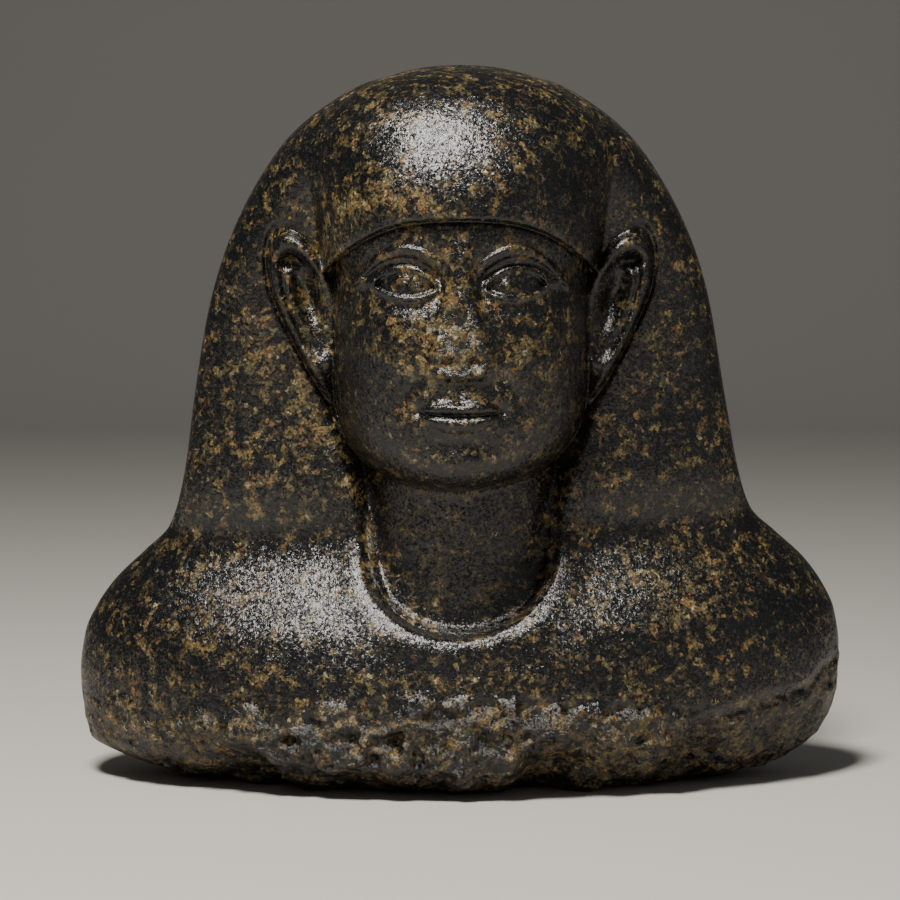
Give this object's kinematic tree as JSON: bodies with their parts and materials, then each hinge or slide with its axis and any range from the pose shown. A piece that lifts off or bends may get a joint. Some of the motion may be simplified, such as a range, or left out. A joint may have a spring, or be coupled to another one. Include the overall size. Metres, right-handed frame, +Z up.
{
  "type": "diorite bust",
  "caption": "Broken stone bust of a figure in a plain bag wig with large ears and a round neckline, in speckled dark diorite.",
  "frame": {"origin": "on the level that the stone stands on, under the middle of its bounding box", "axes": "+Z up, -Y where the figure faces, +X to the right of a viewer who stands in front of it"},
  "size_m": [0.2194, 0.1084, 0.2028],
  "materials": {
    "diorite": "worn polish, rough where broken"
  },
  "bodies": {
    "root": {"bust": "diorite"}
  },
  "joints": []
}
